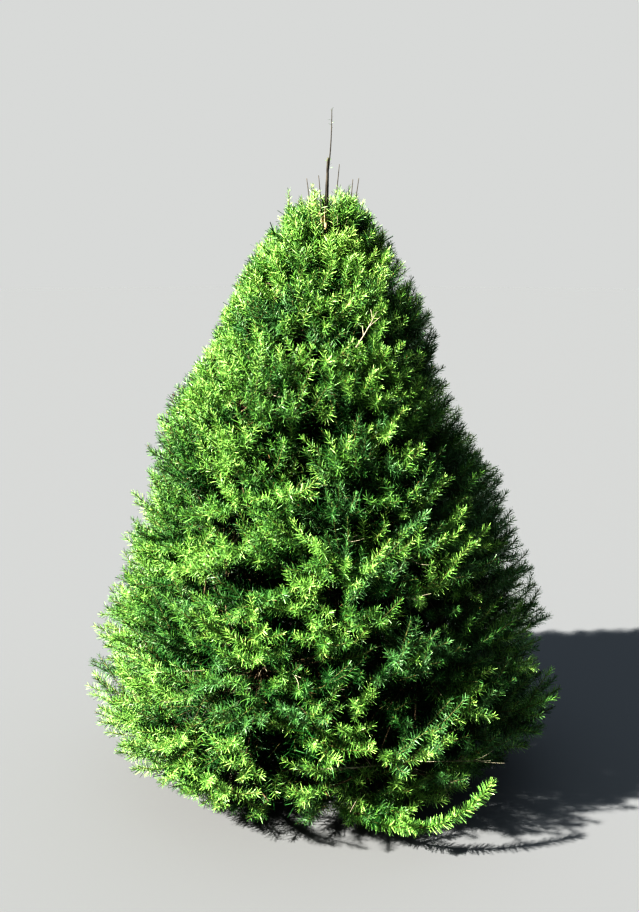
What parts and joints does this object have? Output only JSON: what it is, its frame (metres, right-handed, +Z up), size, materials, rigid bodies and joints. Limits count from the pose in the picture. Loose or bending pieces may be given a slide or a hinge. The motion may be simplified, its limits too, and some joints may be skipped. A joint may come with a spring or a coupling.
{
  "type": "young douglas fir tree",
  "caption": "Young, sheared evergreen conifer: a straight tapering trunk, tiers of rising boughs and a full cone of short needles under a bare leader.",
  "frame": {"origin": "middle of the flat cut under the trunk, at ground level", "axes": "+Z up the trunk to the leader, -Y towards the side that faces the viewer, +X to the viewer's right"},
  "size_m": [1.4272, 1.424, 2],
  "materials": {
    "trunk_bark": "smooth young bark, matte",
    "bough_bark": "thin brown bark, matte",
    "needles": "living needles, waxy satin"
  },
  "bodies": {
    "root": {"bough_1_1": "bough_bark", "bough_1_2": "bough_bark", "bough_1_3": "bough_bark", "bough_1_4": "bough_bark", "bough_1_5": "bough_bark", "bough_2_1": "bough_bark", "bough_2_2": "bough_bark", "bough_2_3": "bough_bark", "bough_2_4": "bough_bark", "bough_2_5": "bough_bark", "bough_3_1": "bough_bark", "bough_3_2": "bough_bark", "bough_3_3": "bough_bark", "bough_3_4": "bough_bark", "bough_3_5": "bough_bark", "bough_4_1": "bough_bark", "bough_4_2": "bough_bark", "bough_4_3": "bough_bark", "bough_4_4": "bough_bark", "bough_4_5": "bough_bark", "bough_5_1": "bough_bark", "bough_5_2": "bough_bark", "bough_5_3": "bough_bark", "bough_5_4": "bough_bark", "foliage_1_1": "needles", "foliage_1_2": "needles", "foliage_1_3": "needles", "foliage_1_4": "needles", "foliage_1_5": "needles", "foliage_2_1": "needles", "foliage_2_2": "needles", "foliage_2_3": "needles", "foliage_2_4": "needles", "foliage_2_5": "needles", "foliage_3_1": "needles", "foliage_3_2": "needles", "foliage_3_3": "needles", "foliage_3_4": "needles", "foliage_3_5": "needles", "foliage_4_1": "needles", "foliage_4_2": "needles", "foliage_4_3": "needles", "foliage_4_4": "needles", "foliage_4_5": "needles", "foliage_5_1": "needles", "foliage_5_2": "needles", "foliage_5_3": "needles", "foliage_5_4": "needles", "foliage_6_1": "needles", "foliage_6_2": "needles", "foliage_6_3": "needles", "foliage_6_4": "needles", "foliage_7_1": "needles", "foliage_7_2": "needles", "foliage_7_3": "needles", "foliage_8_1": "needles", "foliage_8_2": "needles", "trunk": "trunk_bark"}
  },
  "joints": []
}
